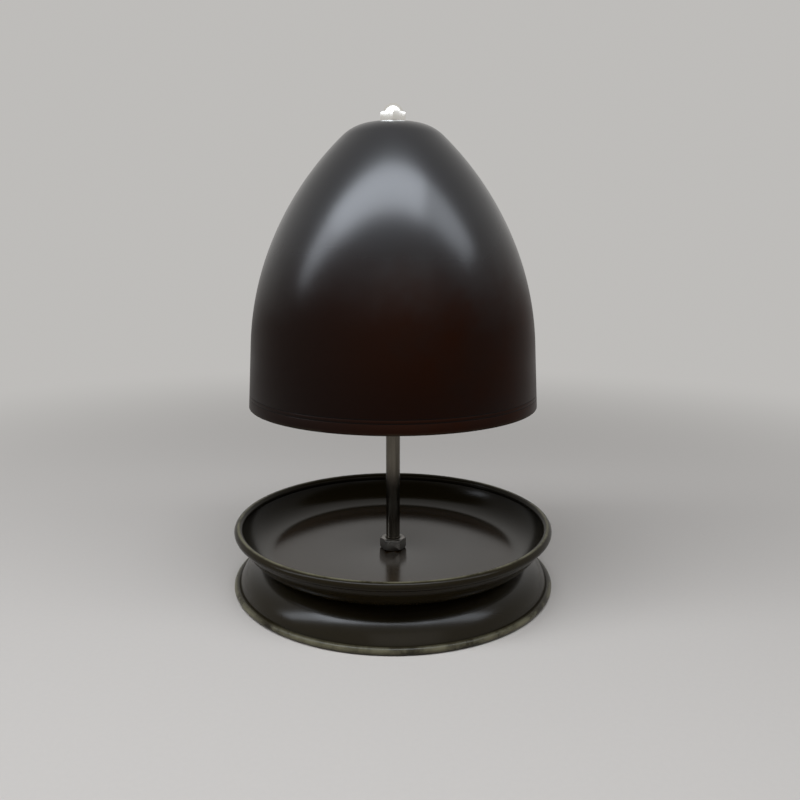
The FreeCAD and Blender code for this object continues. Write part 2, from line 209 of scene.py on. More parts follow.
class FinishColours(PropertyGroup):
    lacquer: colour("Lacquer", "Black lacquer on the upper part of a bell", (0.0045, 0.0045, 0.0060))
    # Painted reflection: the warm lacquer brown stands for a brown table mirrored in the lower part of a
    # bell.
    painted_brown_reflection: colour("Warm lacquer", "Brown where it thins near the mouth", (0.0160, 0.0038, 0.0009))
    bronze: colour("Bronze lacquer", "Flat of the foot and tray", (0.019, 0.0095, 0.0022))
    # Painted shade: this darker bronze stands for the shade on the walls of the foot and tray. The random
    # patches use it too.
    bronze_painted_shade_and_patch: colour("Warm bronze", "Walls of the foot and tray", (0.012, 0.0085, 0.0028))
    worn: colour("Worn rim", "Metal showing through on the rolled rims", (0.170, 0.155, 0.095))
    soot: colour("Soot", "Inside of the bells", (0.0085, 0.0078, 0.0072))
    steel: colour("Steel", "Rod", (0.125, 0.112, 0.092))
    zinc: colour("Zinc plate", "Nuts and washers", (0.30, 0.29, 0.275))
    polished: colour("Polished steel", "Cap nut", (0.95, 0.93, 0.88))
    paper: colour("Floor", "Pale floor", (0.56, 0.515, 0.465))
    background: colour("Background", "Pale surroundings", (0.515, 0.505, 0.49))
    lamp: colour("Lamp", "Light of the overhead strip", (0.85, 0.91, 1.0))


class LacquerFinish(PropertyGroup):
    patch_size: length("Patch size", "Size of the uneven patches", 45 * MM)
    gloss_foot: share("Gloss foot", "Share of the height where the clear gloss starts", 0.33)
    gloss_top: share("Gloss top", "Share of the height from which the gloss is full", 0.72)
    gloss_wander: share("Gloss wander", "Share of the height by which patches shift it", 0.06)
    # The next four settings place the painted brown reflection: it stays right of the rod and gives way to
    # the soot colour on the left and in patches. They change colour only.
    reflection_fade_right: share("Dull right", "End of the dull side, right of the rod, in mouth radii", 0.35)
    reflection_fade_left: share("Dull left", "Full dullness, left of the rod, in mouth radii", 0.75)
    left_reflection_cut: share("Dull side", "How much the left side is dulled", 0.6)
    patch_reflection_cut: share("Dull patches", "How much the patches are dulled", 0.4)
    worn_share: share("Worn share", "Metal showing through at the mouth", 0.12)
    worn_reach: length("Worn reach", "Reach of that wear", 1.6 * MM)
    sheen: FloatProperty(name="Sheen", description="Index of refraction under the gloss", default=1.13)
    coat_roughness: share("Gloss roughness", "Roughness of the clear gloss", 0.24)
    roughness: share("Roughness", "Roughness under the gloss", 0.27)
    patch_roughness: share("Patch roughness", "Added by the patches", 0.06)
    line_roughness: share("Line roughness", "Added by the turned lines", 0.08)
    inner_roughness: share("Inner roughness", "Added by the soot inside", 0.2)


class BronzeFinish(PropertyGroup):
    patch_size: length("Patch size", "Size of the uneven patches", 30 * MM)
    # Painted shade comes in over this width outside the flat radius.
    shade_ramp_width: length("Change width", "Flat radius to the full wall colour", 6 * MM)
    gloss_start: length("Gloss start", "Flat radius to where the gloss fades", 5 * MM)
    gloss_end: length("Gloss end", "Flat radius to where the gloss is gone", 18 * MM)
    gloss: share("Gloss", "Clear gloss on the flat", 0.8)
    coat_index: FloatProperty(name="Gloss index", description="Index of refraction of the gloss", default=1.5)
    coat_roughness: share("Gloss roughness", "Roughness of the clear gloss", 0.17)
    patch_share: share("Patch share", "Wall colour in the patches", 0.35)
    worn_share: share("Worn share", "Metal showing through on the crest", 0.8)
    roughness: share("Roughness", "Roughness under the gloss", 0.17)
    patch_roughness: share("Patch roughness", "Added by the patches", 0.04)
    line_roughness: share("Line roughness", "Added by the turned lines", 0.06)
    worn_roughness: share("Worn roughness", "Added by the wear", 0.15)


class StageSizes(PropertyGroup):
    camera_back: length("Camera distance", "Camera in front of the rod", 428.5 * MM)
    camera_height: length("Camera height", "Camera above the table", 192.7 * MM)
    camera_tilt: angle("Camera tilt", "Camera looks down by this much", 11.52)
    lens: FloatProperty(name="Lens", description="Focal length", default=35.16, unit="CAMERA")
    shift: FloatProperty(name="Shift", description="Sideways shift of the picture", default=0.00875)
    strip_height: length("Strip height", "Overhead strip lamp above the table", 0.95)
    strip_front: length("Strip front", "Middle of the strip in front of the rod", 0.32)
    strip_left: length("Strip left", "Left end of the bright middle of the strip", 0.80)
    strip_right: length("Strip right", "Right end of the bright middle of the strip", 0.36)
    left_wing: length("Left wing", "Fainter end of the strip on the left", 1.60)
    right_wing: length("Right wing", "Fainter end of the strip on the right", 0.95)
    strip_width: length("Strip width", "Front to back", 0.35)
    strip_glow: FloatProperty(name="Strip glow", description="Watts for each square metre", default=25.0)
    left_share: share("Left share", "Glow of the left wing against the middle", 0.75)
    right_share: share("Right share", "Glow of the right wing against the middle", 0.50)
    fill_power: FloatProperty(
        name="Fill power", description="Soft light from the front", default=1.6, unit="POWER")
    fill_place: FloatVectorProperty(
        name="Fill place", description="Middle of that lamp", default=(0.25, -1.5, 0.75), size=3)
    fill_size: FloatVectorProperty(
        name="Fill size", description="Width and height of that lamp", default=(1.4, 0.9), size=2)
    fill_aim: length("Fill aim", "Height on the rod that it is turned towards", 0.08)
    ambient: FloatProperty(name="Ambient", description="Strength of the light from all sides", default=0.08)
    floor_radius: length("Floor radius", "Round floor", 3.0)
    fibre_scale: FloatProperty(name="Fibre scale", description="Paper fibres in a metre", default=420.0)
    fibre_shade: share("Fibre shade", "Darkest part of the paper against its colour", 0.96)
    fade_start: length("Fade start", "Where the floor starts to melt into the background", 0.18)
    fade_end: length("Fade end", "Where only the background is left", 0.80)


# Outlines, as lists of (radius, height) points


def bend(outline, radius, slope_in, slope_out, turn, steps):
    """Continues an outline by an arc; slopes are below the horizontal for turn -1 and above it for 1."""
    x, y = outline[-1]
    for step in range(1, steps + 1):
        slope = slope_in + (slope_out - slope_in) * step / steps
        across = radius * (math.sin(slope) - math.sin(slope_in))
        upward = radius * (math.cos(slope_in) - math.cos(slope)) * turn
        outline.append((x + across, y + upward))


def bell_side(sizes, height, mouth_radius, inset):
    """One side of a bell's wall from its crown to the top of its straight skirt."""
    sines = [math.sin(slope) for slope in (sizes.shoulder_slope, sizes.flank_slope, sizes.skirt_slope)]
    cosines = [math.cos(slope) for slope in (sizes.shoulder_slope, sizes.flank_slope, sizes.skirt_slope)]
    steep = math.tan(sizes.skirt_slope)
    fall = height - sizes.shoulder_radius * (1 - cosines[0]) - sizes.waist_radius * (cosines[1] - cosines[2])
    slack = mouth_radius - sizes.crown_radius - sizes.shoulder_radius * sines[0]
    slack -= sizes.waist_radius * (sines[2] - sines[1]) + fall / steep
    flank_radius = slack / (sines[1] - sines[0] - (cosines[0] - cosines[1]) / steep)
    side = [(sizes.crown_radius, height - inset)]
    bend(side, sizes.shoulder_radius - inset, 0.0, sizes.shoulder_slope, -1, SHOULDER_STEPS)
    bend(side, flank_radius - inset, sizes.shoulder_slope, sizes.flank_slope, -1, FLANK_STEPS)
    bend(side, sizes.waist_radius - inset, sizes.flank_slope, sizes.skirt_slope, -1, FLANK_STEPS)
    return side


def rounded(corner, before, after, radius, steps=4):
    """Points of a round that replaces a corner between two neighbouring points."""
    ends = []
    for other in (before, after):
        reach = math.dist(corner, other)
        cut = min(radius, reach * 0.45) / reach
        ends.append((corner[0] + (other[0] - corner[0]) * cut, corner[1] + (other[1] - corner[1]) * cut))
    points = []
    for step in range(steps + 1):
        t = step / steps
        weights = ((1 - t) ** 2, 2 * t * (1 - t), t ** 2)
        points.append(tuple(
            weights[0] * ends[0][axis] + weights[1] * corner[axis] + weights[2] * ends[1][axis]
            for axis in range(2)))
    return points


def bell_outline(sizes, sheet, box, hole_radius, lines=()):
    """Closed outline of a bell's wall; lines are the heights of turned lines above the mouth."""
    low, high = box
    height = high.z - low.z
    steep = math.tan(sizes.skirt_slope)
    outside = bell_side(sizes, height, high.x, 0.0)
    inside = bell_side(sizes, height, high.x, sizes.wall)
    for level in sorted(lines, reverse=True):
        skin = high.x - level / steep
        half = sizes.line_width / 2
        groove = [(skin - half / steep, level + half), (skin - sizes.line_depth, level),
                  (skin + half / steep, level - half)]
        outside.append(groove[0])
        outside += rounded(groove[1], groove[0], groove[2], half / 2)
        outside.append(groove[2])
    mouth_inner = inside[-1][0] + inside[-1][1] / steep
    lip_out = rounded((high.x, 0.0), outside[-1], (mouth_inner, 0.0), sheet.edge_round)
    lip_in = rounded((mouth_inner, 0.0), (high.x, 0.0), inside[-1], sheet.edge_round)
    hole_top = rounded((hole_radius, height), (hole_radius, height - sizes.wall), outside[0],
                       sheet.edge_round)
    hole_foot = rounded((hole_radius, height - sizes.wall), inside[0], (hole_radius, height),
                        sheet.edge_round)
    outline = hole_top + outside + lip_out + lip_in + inside[::-1] + hole_foot
    return [(x, y + low.z) for x, y in outline]


def meet_circle(side, centre, radius):
    """The side cut off where it enters a circle, and the angle of that point on the circle."""
    kept = [side[0]]
    for start, end in zip(side, side[1:]):
        if math.dist(end, centre) > radius:
            kept.append(end)
            continue
        near, far = 0.0, 1.0
        for _ in range(40):
            middle = (near + far) / 2
            point = (start[0] + (end[0] - start[0]) * middle, start[1] + (end[1] - start[1]) * middle)
            if math.dist(point, centre) > radius:
                near = middle
            else:
                far = middle
        kept.append(point)
        return kept, math.atan2(point[1] - centre[1], point[0] - centre[0])
    raise RuntimeError("a dish's wall misses its rolled rim")


def dish_outline(sizes, sheet, plate_height, rim_radius, rim_middle, turn, hole_radius):
    """Closed outline of a dish: plate, wall and rolled rim. Turn is -1 for the foot, 1 for the tray."""
    centre = (rim_radius - sizes.bead_radius, rim_middle)
    climb = turn * (rim_middle - plate_height) - sizes.bend_radius * (1 - math.cos(sizes.bend_slope))
    wall_radius = climb / (math.cos(sizes.bend_slope) - math.cos(sizes.rim_slope))
    reach = wall_radius * (math.sin(sizes.rim_slope) - math.sin(sizes.bend_slope))
    reach += sizes.bend_radius * math.sin(sizes.bend_slope)
    start = centre[0] - sizes.tuck - reach
    sides = []
    for inset in (0.0, sheet.dish_wall):
        side = [(start, plate_height - inset)]
        bend(side, sizes.bend_radius + turn * inset, 0.0, sizes.bend_slope, turn, BEND_STEPS)
        bend(side, wall_radius + turn * inset, sizes.bend_slope, sizes.rim_slope, turn, WALL_STEPS)
        sides.append(meet_circle(side, centre, sizes.bead_radius))
    (upper, upper_angle), (lower, lower_angle) = sides
    if lower_angle > upper_angle - math.pi / 2:
        lower_angle -= 2 * math.pi
    if upper_angle < 0:
        upper_angle += 2 * math.pi
        lower_angle += 2 * math.pi
    seam_angle = sheet.seam_width / sizes.bead_radius
    last = lower_angle + seam_angle
    bead = []
    for step in range(BEAD_STEPS + 1):
        bearing = upper_angle + (last - upper_angle) * step / BEAD_STEPS
        height = centre[1] + sizes.bead_radius * math.sin(bearing)
        bead.append((centre[0] + sizes.bead_radius * math.cos(bearing),
                     max(height, centre[1] - sizes.bead_radius + sizes.bead_worn)))
    root_angle = lower_angle + seam_angle / 2
    root_radius = sizes.bead_radius - sheet.seam_depth
    seam = (centre[0] + root_radius * math.cos(root_angle),
            centre[1] + root_radius * math.sin(root_angle))
    hole = [(hole_radius, plate_height), (hole_radius, plate_height - sheet.dish_wall)]
    hole_top = rounded(hole[0], hole[1], upper[0], sheet.edge_round)
    hole_foot = rounded(hole[1], lower[0], hole[0], sheet.edge_round)
    return hole_top + upper[:-1] + bead + [seam] + lower[::-1] + hole_foot


# Modelling with Blender's own operators


def start_clean():
    """Leaves edit mode and selects nothing."""
    if bpy.context.mode != "OBJECT":
        bpy.ops.object.mode_set(mode="OBJECT")
    bpy.ops.object.select_all(action="DESELECT")


def only(piece):
    """Selects one piece alone and makes it active."""
    start_clean()
    piece.select_set(True)
    bpy.context.view_layer.objects.active = piece
    return piece


def added(name):
    """Names the primitive that was just added and puts its place into its mesh."""
    piece = bpy.context.active_object
    piece.name = name
    piece.data.name = name
    bpy.ops.object.transform_apply(location=True, rotation=True, scale=True)
    return piece


def draw_chain(name, points):
    """One vertex extruded along a list of (radius, height) points, on the XZ plane."""
    start_clean()
    bpy.ops.mesh.primitive_plane_add(size=MM, location=(points[0][0], 0.0, points[0][1]))
    piece = added(name)
    bpy.ops.object.mode_set(mode="EDIT")
    bpy.ops.mesh.select_all(action="SELECT")
    bpy.ops.mesh.merge(type="CENTER")
    for before, after in zip(points, points[1:]):
        step = (after[0] - before[0], 0.0, after[1] - before[1])
        bpy.ops.mesh.extrude_region_move(TRANSFORM_OT_translate={"value": step})
    return piece


def weld():
    """Merges doubles, in edit mode, and leaves everything selected."""
    bpy.ops.mesh.select_all(action="SELECT")
    bpy.ops.mesh.remove_doubles(threshold=WELD)


def spin_outline(name, outline, steps):
    """Solid of revolution of a closed outline about the rod's axis."""
    piece = draw_chain(name, outline + outline[:1])
    bpy.ops.mesh.select_all(action="SELECT")
    bpy.ops.mesh.spin(steps=steps, angle=2 * math.pi, center=(0.0, 0.0, 0.0), axis=(0.0, 0.0, 1.0))
    weld()
    bpy.ops.mesh.normals_make_consistent(inside=False)
    bpy.ops.object.mode_set(mode="OBJECT")
    return piece


def smooth(piece, degrees=35.0):
    """Smooth shading, with edges sharper than an angle left sharp."""
    only(piece)
    bpy.ops.object.shade_smooth_by_angle(angle=math.radians(degrees))


def combine(piece, tool, operation):
    """Cuts or keeps what a tool solid covers, then removes the tool."""
    only(piece)
    modifier = piece.modifiers.new(operation.title(), "BOOLEAN")
    modifier.operation = operation
    modifier.solver = "EXACT"
    modifier.object = tool
    bpy.ops.object.modifier_apply(modifier=modifier.name)
    bpy.data.objects.remove(tool)


def soften(piece, width, degrees=25.0, segments=2):
    """Small rounds on every edge sharper than an angle."""
    only(piece)
    modifier = piece.modifiers.new("Soft edges", "BEVEL")
    modifier.width = width
    modifier.segments = segments
    modifier.limit_method = "ANGLE"
    modifier.angle_limit = math.radians(degrees)
    modifier.use_clamp_overlap = True
    bpy.ops.object.modifier_apply(modifier=modifier.name)


def copy_to(master, name, height, degrees=0.0):
    """Copy of a piece with its own mesh, raised along the rod and turned about it."""
    only(master)
    bpy.ops.object.duplicate(linked=False)
    copy = bpy.context.active_object
    copy.name = name
    copy.data.name = name
    copy.location.z = height
    copy.rotation_euler.z = math.radians(degrees)
    bpy.ops.object.transform_apply(location=True, rotation=True, scale=True)
    return copy


def mark_inner_side(piece):
    """Writes 1 on the faces of a bell that look down or inwards, and 0 on the others."""
    mark = piece.data.attributes.new(INNER_SIDE, "FLOAT", "FACE")
    for face in piece.data.polygons:
        mark.data[face.index].value = 1.0 if face.normal.z < 0.0 else 0.0


def settle(piece, node, material):
    """Gives a piece its finish, and lets it stand for a node on that node's body."""
    piece.data.materials.clear()
    piece.data.materials.append(material)
    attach(piece, BODY_OF[node])
    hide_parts(node)


def hexagon_tool(name, corner_radius, height):
    """Hexagonal prism from the table up, with two corners along X."""
    start_clean()
    bpy.ops.mesh.primitive_cylinder_add(
        vertices=6, radius=corner_radius, depth=height, location=(0.0, 0.0, height / 2))
    piece = added(name)
    corner = max(piece.data.vertices, key=lambda vertex: vertex.co.x)
    piece.rotation_euler.z = -math.atan2(corner.co.y, corner.co.x)
    only(piece)
    bpy.ops.object.transform_apply(location=True, rotation=True, scale=True)
    return piece


# Shared shader groups


def new_group(name, inputs, outputs):
    """Empty node group with named sockets, and its input and output nodes."""
    group = bpy.data.node_groups.new(name, "ShaderNodeTree")
    for label, kind, default in inputs:
        socket = group.interface.new_socket(label, in_out="INPUT", socket_type=kind)
        socket.default_value = default
    for label, kind in outputs:
        group.interface.new_socket(label, in_out="OUTPUT", socket_type=kind)
    return group, group.nodes.new("NodeGroupInput"), group.nodes.new("NodeGroupOutput")


def put(tree, value, socket):
    """Feeds a socket from another socket or sets it to a plain value."""
    if isinstance(value, bpy.types.NodeSocket):
        tree.links.new(value, socket)
    else:
        socket.default_value = value


def maths(tree, operation, *values):
    """One step of arithmetic on sockets or plain values."""
    step = tree.nodes.new("ShaderNodeMath")
    step.operation = operation
    for value, socket in zip(values, step.inputs):
        put(tree, value, socket)
    return step.outputs[0]


def ramp(tree, value, low, high):
    """Turns a value between two limits into 0 to 1, with soft ends."""
    step = tree.nodes.new("ShaderNodeMapRange")
    step.interpolation_type = "SMOOTHSTEP"
    put(tree, value, step.inputs["Value"])
    put(tree, low, step.inputs["From Min"])
    put(tree, high, step.inputs["From Max"])
    return step.outputs["Result"]


def mixed(tree, factor, first, second):
    """Colour between two colours."""
    step = tree.nodes.new("ShaderNodeMix")
    step.data_type = "RGBA"
    colours = [socket for socket in step.inputs if socket.type == "RGBA"]
    put(tree, factor, step.inputs["Factor"])
    put(tree, first, colours[0])
    put(tree, second, colours[1])
    return next(socket for socket in step.outputs if socket.type == "RGBA")


def noise(tree, vector, scale, detail=3.0, roughness=0.55):
    """Smooth random value at a place."""
    step = tree.nodes.new("ShaderNodeTexNoise")
    put(tree, vector, step.inputs["Vector"])
    put(tree, scale, step.inputs["Scale"])
    step.inputs["Detail"].default_value = detail
    step.inputs["Roughness"].default_value = roughness
    return step.outputs["Fac"]


def hypotenuse(tree, first, second):
    """Length of the slanted side over two sides at a right angle."""
    squares = [maths(tree, "MULTIPLY", side, side) for side in (first, second)]
    return maths(tree, "SQRT", maths(tree, "ADD", *squares))


def place_parts(tree):
    """Object coordinates with the distance from the rod's axis."""
    place = tree.nodes.new("ShaderNodeTexCoord").outputs["Object"]
    split = tree.nodes.new("ShaderNodeSeparateXYZ")
    tree.links.new(place, split.inputs[0])
    x, y, z = split.outputs
    return place, x, y, z, hypotenuse(tree, x, y)


def make_turned_lines():
    """Rings left by the spinning tool: close together along the profile, long round the piece."""
    group, given, result = new_group(
        "Turned lines",
        [("Lines per Metre", "NodeSocketFloat", 900.0), ("Wander", "NodeSocketFloat", 9.0)],
        [("Height", "NodeSocketFloat"), ("Bands", "NodeSocketFloat")])
    _, x, y, z, radius = place_parts(group)
    along = maths(group, "SUBTRACT", radius, z)
    heights = []
    for factor, detail in ((1.0, 2.0), (0.08, 1.0)):
        joined = group.nodes.new("ShaderNodeCombineXYZ")
        put(group, maths(group, "MULTIPLY", x, given.outputs["Wander"]), joined.inputs[0])
        put(group, maths(group, "MULTIPLY", y, given.outputs["Wander"]), joined.inputs[1])
        across = maths(group, "MULTIPLY", given.outputs["Lines per Metre"], factor)
        put(group, maths(group, "MULTIPLY", along, across), joined.inputs[2])
        heights.append(noise(group, joined.outputs[0], 1.0, detail))
    put(group, heights[0], result.inputs["Height"])
    put(group, heights[1], result.inputs["Bands"])
    return group


def make_mottle():
    """Uneven patches, as in a brushed lacquer or a plated surface, drawn out upwards by a low Upright."""
    group, given, result = new_group(
        "Mottle",
        [("Size", "NodeSocketFloat", 0.02), ("Contrast", "NodeSocketFloat", 0.2),
         ("Upright", "NodeSocketFloat", 1.0)],
        [("Mask", "NodeSocketFloat"), ("Grit", "NodeSocketFloat")])
    _, x, y, z, _ = place_parts(group)
    drawn = group.nodes.new("ShaderNodeCombineXYZ")
    put(group, x, drawn.inputs[0])
    put(group, y, drawn.inputs[1])
    put(group, maths(group, "MULTIPLY", z, given.outputs["Upright"]), drawn.inputs[2])
    place = drawn.outputs[0]
    scale = maths(group, "DIVIDE", 1.0, given.outputs["Size"])
    broad = noise(group, place, scale, 4.0, 0.6)
    low = maths(group, "SUBTRACT", 0.5, given.outputs["Contrast"])
    high = maths(group, "ADD", 0.5, given.outputs["Contrast"])
    put(group, ramp(group, broad, low, high), result.inputs["Mask"])
    put(group, noise(group, place, maths(group, "MULTIPLY", scale, 40.0), 2.0), result.inputs["Grit"])
    return group


def make_rim_wear():
    """Mask that is strongest on a ring of given radius and height, broken up by noise."""
    group, given, result = new_group(
        "Rim wear",
        [("Radius", "NodeSocketFloat", 0.09), ("Height", "NodeSocketFloat", 0.0),
         ("Reach", "NodeSocketFloat", 0.002)],
        [("Mask", "NodeSocketFloat")])
    place, _, _, z, radius = place_parts(group)
    across = maths(group, "SUBTRACT", radius, given.outputs["Radius"])
    upward = maths(group, "SUBTRACT", z, given.outputs["Height"])
    near = ramp(group, hypotenuse(group, across, upward), given.outputs["Reach"], 0.0)
    rubbed = ramp(group, noise(group, place, 55.0, 5.0, 0.65), 0.30, 0.62)
    put(group, maths(group, "MULTIPLY", near, rubbed), result.inputs["Mask"])
    return group


def use(tree, name, **values):
    """Places a shared group in a material with its own values."""
    step = tree.nodes.new("ShaderNodeGroup")
    step.node_tree = bpy.data.node_groups[name]
    for label, value in values.items():
        put(tree, value, step.inputs[label.replace("_", " ")])
    return step.outputs


def new_material(name):
    """Node tree of a new material, and the shader in it."""
    material = bpy.data.materials.new(name)
    material.use_nodes = True
    return material.node_tree, material.node_tree.nodes["Principled BSDF"]


def bump(tree, shader, height, strength, distance):
    """Fine relief on the shader's normal."""
    step = tree.nodes.new("ShaderNodeBump")
    step.inputs["Strength"].default_value = strength
    step.inputs["Distance"].default_value = distance
    put(tree, height, step.inputs["Height"])
    tree.links.new(step.outputs["Normal"], shader.inputs["Normal"])


def rgba(three):
    """A colour with full opacity."""
    return (*three, 1.0)


def weighted_sum(tree, base, *parts):
    """A base value with masks added, each by its own weight."""
    for mask, weight in parts:
        base = maths(tree, "ADD", base, maths(tree, "MULTIPLY", mask, weight))
    return base


def turned_relief(tree, shader, lines, band_weight=2.0, strength=0.35, distance=0.02 * MM):
    """Rings of the spinning tool as fine relief, with broader bands between them."""
    relief = weighted_sum(tree, lines["Height"], (lines["Bands"], band_weight))
    bump(tree, shader, relief, strength, distance)


def lacquer_material(name, node, colours, finish):
    """Lacquer on a spun bell, with a clear gloss over its upper part, a painted brown reflection below the
    gloss towards the mouth, and sooty inside.
    """
    low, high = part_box(node)
    span = high.z - low.z
    tree, shader = new_material(name)
    lines = use(tree, "Turned lines")
    patches = use(tree, "Mottle", Size=finish.patch_size, Contrast=0.2)
    wear = use(tree, "Rim wear", Radius=high.x, Height=low.z, Reach=finish.worn_reach)
    inner = tree.nodes.new("ShaderNodeAttribute")
    inner.attribute_name = INNER_SIDE
    inside = inner.outputs["Fac"]
    _, across, _, height, _ = place_parts(tree)
    lift = weighted_sum(tree, height, (patches["Mask"], finish.gloss_wander * span))
    gloss = ramp(tree, lift, low.z + finish.gloss_foot * span, low.z + finish.gloss_top * span)
    gloss = maths(tree, "MULTIPLY", gloss, maths(tree, "SUBTRACT", 1.0, inside))
    # Painted reflection: the brown is kept right of the rod and faded to the soot colour on the left side and
    # in random patches. On the outside, the soot colour is the lacquer without that reflection.
    side = ramp(tree, across, finish.reflection_fade_right * high.x, -finish.reflection_fade_left * high.x)
    dull = maths(tree, "MAXIMUM", maths(tree, "MULTIPLY", side, finish.left_reflection_cut),
                 maths(tree, "MULTIPLY", patches["Mask"], finish.patch_reflection_cut))
    brown = mixed(tree, dull, rgba(colours.painted_brown_reflection), rgba(colours.soot))
    # Black lacquer under the gloss, and the painted brown reflection below it.
    base = mixed(tree, gloss, brown, rgba(colours.lacquer))
    worn = maths(tree, "MULTIPLY", wear["Mask"], finish.worn_share)
    base = mixed(tree, worn, base, rgba(colours.worn))
    base = mixed(tree, inside, base, rgba(colours.soot))
    tree.links.new(base, shader.inputs["Base Color"])
    tree.links.new(gloss, shader.inputs["Coat Weight"])
    rough = weighted_sum(
        tree, finish.roughness, (patches["Mask"], finish.patch_roughness),
        (lines["Bands"], finish.line_roughness), (inside, finish.inner_roughness))
    tree.links.new(rough, shader.inputs["Roughness"])
    shader.inputs["Coat Roughness"].default_value = finish.coat_roughness
    shader.inputs["IOR"].default_value = finish.sheen
    turned_relief(tree, shader, lines)


def bronze_material(name, colours, finish, sizes, rim_radius, rim_middle):
    """Bronze-brown lacquer on a dish, less glossy and darker on its wall, the darkening being painted shade,
    rubbed on the crest of its rolled rim.
    """
    tree, shader = new_material(name)
    lines = use(tree, "Turned lines")
    patches = use(tree, "Mottle", Size=finish.patch_size, Contrast=0.2)
    bead, flat = sizes.bead_radius, sizes.flat_radius
    wear = use(tree, "Rim wear", Radius=rim_radius - sizes.wear_inward * bead,
               Height=rim_middle + sizes.wear_upward * bead, Reach=sizes.wear_reach * bead)
    radius = place_parts(tree)[4]
    # Painted shade: outside the flat radius the wall takes the darker bronze.
    painted_wall_shade = ramp(tree, radius, flat, flat + finish.shade_ramp_width)
    base = mixed(tree, painted_wall_shade, rgba(colours.bronze), rgba(colours.bronze_painted_shade_and_patch))
    patched = maths(tree, "MULTIPLY", patches["Mask"], finish.patch_share)
    base = mixed(tree, patched, base, rgba(colours.bronze_painted_shade_and_patch))
    worn = maths(tree, "MULTIPLY", wear["Mask"], finish.worn_share)
    base = mixed(tree, worn, base, rgba(colours.worn))
    tree.links.new(base, shader.inputs["Base Color"])
    rough = weighted_sum(
        tree, finish.roughness, (patches["Mask"], finish.patch_roughness),
        (lines["Bands"], finish.line_roughness), (wear["Mask"], finish.worn_roughness))
    tree.links.new(rough, shader.inputs["Roughness"])
    clear = ramp(tree, radius, flat + finish.gloss_end, flat + finish.gloss_start)
    tree.links.new(maths(tree, "MULTIPLY", clear, finish.gloss), shader.inputs["Coat Weight"])
    shader.inputs["Coat Roughness"].default_value = finish.coat_roughness
    shader.inputs["Coat IOR"].default_value = finish.coat_index
    shader.inputs["IOR"].default_value = sizes.sheen
    turned_relief(tree, shader, lines)


def metal_material(name, base, dark_share, roughness, patch_size, upright=1.0):
    """Bare metal, dulled in patches and finely marked; a low upright value draws the marks along the rod."""
    tree, shader = new_material(name)
    patches = use(tree, "Mottle", Size=patch_size, Contrast=0.18, Upright=upright)
    dull = rgba([channel * dark_share for channel in base])
    tree.links.new(mixed(tree, patches["Mask"], dull, rgba(base)), shader.inputs["Base Color"])
    rough = weighted_sum(tree, roughness, (patches["Mask"], -0.3 * roughness))
    tree.links.new(rough, shader.inputs["Roughness"])
    shader.inputs["Metallic"].default_value = 1.0
    bump(tree, shader, patches["Grit"], strength=0.15, distance=0.01 * MM)


def make_finishes(scene):
    """Shared groups and every finish of the object."""
    colours = scene.finish_colours
    make_turned_lines()
    make_mottle()
    make_rim_wear()
    lacquer_material("Outer bell lacquer", "outer_bell", colours, scene.lacquer_finish)
    lacquer_material("Inner bell lacquer", "inner_bell", colours, scene.lacquer_finish)
    for node, label, turn, finish in DISHES:
        sizes = getattr(scene, label)
        rim_middle = dish_heights(node, sizes, scene.sheet_sizes, turn)[1]
        bronze_material(finish, colours, scene.bronze_finish, sizes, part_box(node)[1].x, rim_middle)
    metal_material(
        "Drawn steel", colours.steel, dark_share=0.75, roughness=0.26, patch_size=2.2 * MM, upright=0.05)
    metal_material("Zinc plate", colours.zinc, dark_share=0.70, roughness=0.38, patch_size=4 * MM)
    metal_material("Polished steel", colours.polished, dark_share=0.93, roughness=0.30, patch_size=5 * MM)


# Operators, one for each group of pieces


class SpunBells(Operator):
    """Spin the outer bell and the smaller bell inside it"""

    bl_idname = "spun_bell.bells"
    bl_label = "Spin Bells"

    def execute(self, context):
        scene = context.scene
        sheet = scene.sheet_sizes
        hole = scene.hardware_sizes.rod_radius + sheet.hole_gap
        outer = scene.outer_bell_sizes
        lines = [outer.line_rise, outer.line_rise + outer.line_step]
        outline = bell_outline(outer, sheet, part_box("outer_bell"), hole, lines)
        bell = spin_outline("outer_bell_shell", outline, sheet.spin_steps)
        smooth(bell)
        mark_inner_side(bell)
        settle(bell, "outer_bell", bpy.data.materials["Outer bell lacquer"])
        outline = bell_outline(scene.inner_bell_sizes, sheet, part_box("inner_bell"), hole)
        bell = spin_outline("inner_bell_shell", outline, sheet.spin_steps)
        smooth(bell)
        mark_inner_side(bell)
        settle(bell, "inner_bell", bpy.data.materials["Inner bell lacquer"])
        return {"FINISHED"}


def dish_heights(node, sizes, sheet, turn):
    """Height of a dish's plate or floor, and of the middle of its rolled rim."""
    low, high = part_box(node)
    if turn < 0:
        return high.z, low.z + sizes.bead_radius - sizes.bead_worn
    return low.z + sheet.dish_wall, high.z - sizes.bead_radius


class SpunDishes(Operator):
    """Spin the foot and the tray, with their rims rolled"""

    bl_idname = "spun_bell.dishes"
    bl_label = "Spin Dishes"

    def execute(self, context):
        scene = context.scene
        sheet = scene.sheet_sizes
        hole = scene.hardware_sizes.rod_radius + sheet.hole_gap
        for node, label, turn, finish in DISHES:
            sizes = getattr(scene, label)
            plate, rim_middle = dish_heights(node, sizes, sheet, turn)
            outline = dish_outline(sizes, sheet, plate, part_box(node)[1].x, rim_middle, turn, hole)
            dish = spin_outline(node + "_shell", outline, sheet.spin_steps)
            smooth(dish)
            settle(dish, node, bpy.data.materials[finish])
        return {"FINISHED"}


